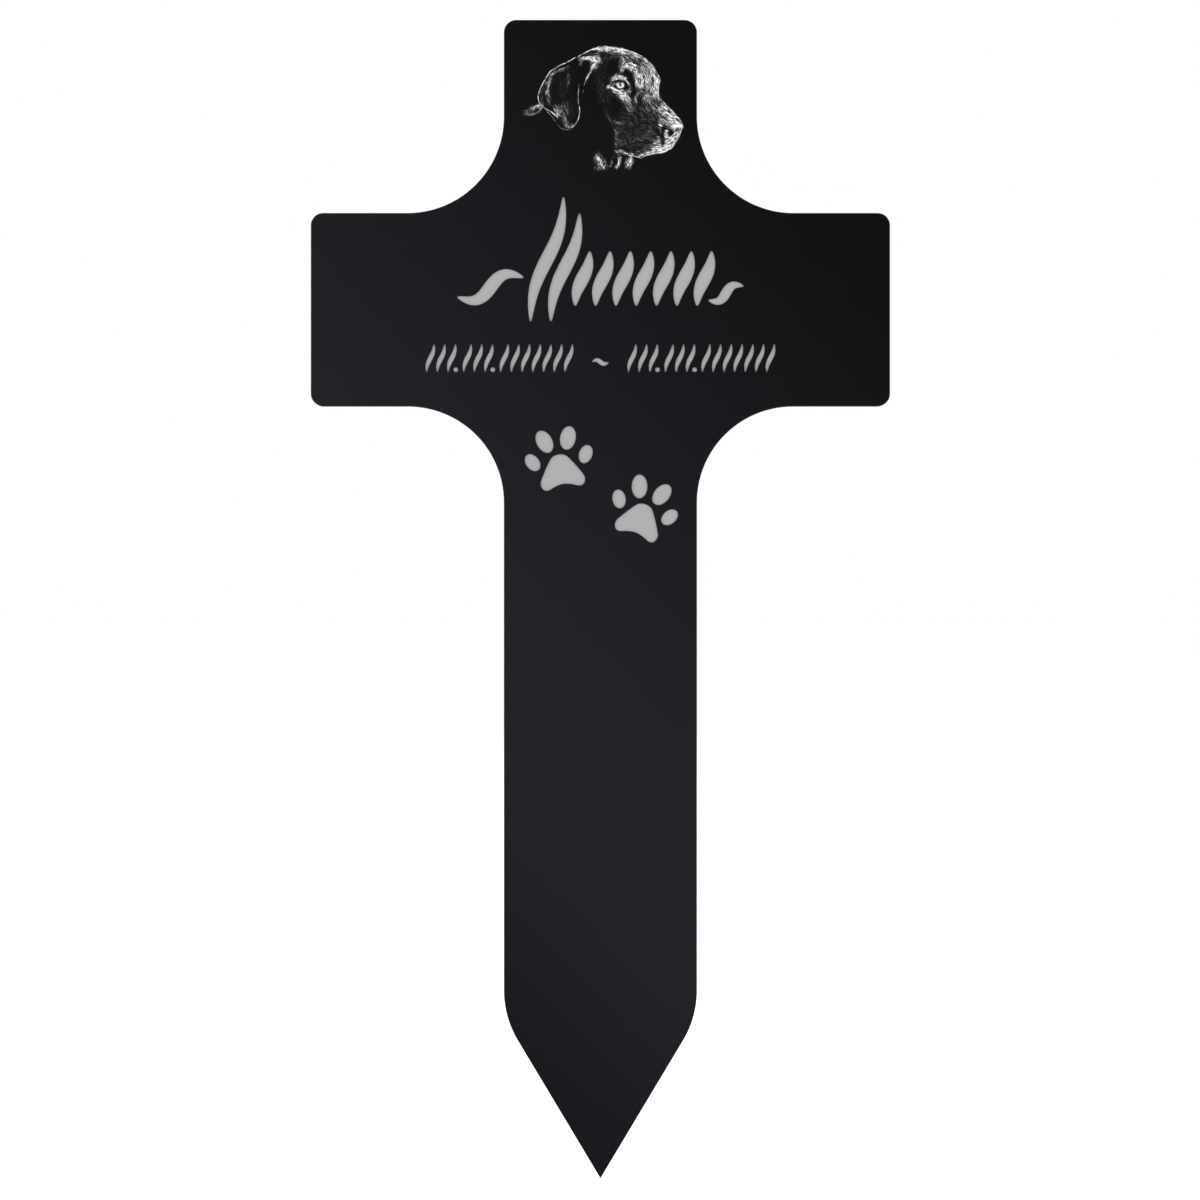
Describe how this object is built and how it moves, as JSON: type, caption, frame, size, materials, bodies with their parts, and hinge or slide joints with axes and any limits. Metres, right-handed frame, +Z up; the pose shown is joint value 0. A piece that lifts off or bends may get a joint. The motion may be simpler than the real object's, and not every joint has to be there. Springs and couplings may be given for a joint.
{
  "type": "pet grave cross",
  "caption": "Flat cross-shaped grave marker with a pointed foot that is pushed into the ground, engraved on the front with a dog's head, paw prints and rows of strokes.",
  "frame": {"origin": "on the stem's axis at the ground line, halfway through the sheet's thickness, 80 mm above the foot's tip", "axes": "+Z up along the stem, front face towards -Y, +X towards the side that the dog's head faces"},
  "size_m": [0.15, 0.003, 0.3],
  "materials": {
    "black_acrylic": "smooth black acrylic sheet with a soft gloss, engraved marks frosted silver grey"
  },
  "bodies": {
    "root": {"cross_plate": "black_acrylic"}
  },
  "joints": []
}
